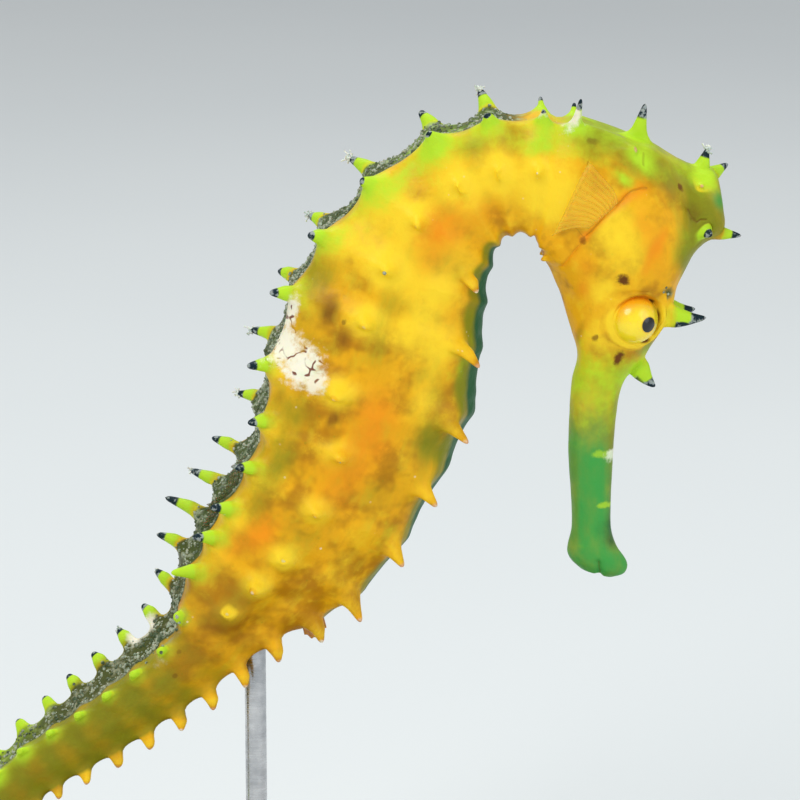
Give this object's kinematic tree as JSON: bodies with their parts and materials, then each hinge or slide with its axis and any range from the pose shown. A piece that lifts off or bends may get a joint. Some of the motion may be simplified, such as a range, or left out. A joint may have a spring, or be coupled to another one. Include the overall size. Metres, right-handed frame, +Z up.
{
  "type": "seahorse",
  "caption": "Thorny seahorse with bowed head and coiled tail, a life-size still figure held above a flat base plate by short rods.",
  "frame": {"origin": "middle of the underside of the stand's base plate", "axes": "+Z up; the head is at +X with the snout pointing down, the tail is at -X; the animal's left side faces +Y"},
  "size_m": [0.066, 0.044, 0.0767],
  "materials": {
    "skin": "moist thin skin over bony plates, golden yellow",
    "fin": "thin rayed membrane",
    "eye": "wet glossy eye, golden iris and black pupil",
    "stand_wood": "dark satin wood",
    "stand_steel": "satin steel"
  },
  "bodies": {
    "root": {"snout": "skin", "head": "skin", "coronet": "skin", "neck": "skin", "trunk_front": "skin", "trunk_rear": "skin", "tail_1": "skin", "tail_2": "skin", "tail_3": "skin", "tail_4": "skin", "tail_5": "skin", "tail_6": "skin", "pectoral_fin_right": "fin", "pectoral_fin_left": "fin", "dorsal_fin": "fin", "anal_fin": "fin", "eye_right": "eye", "eye_left": "eye", "stand_base": "stand_wood", "stand_rod_front": "stand_steel", "stand_rod_rear": "stand_steel"}
  },
  "joints": []
}
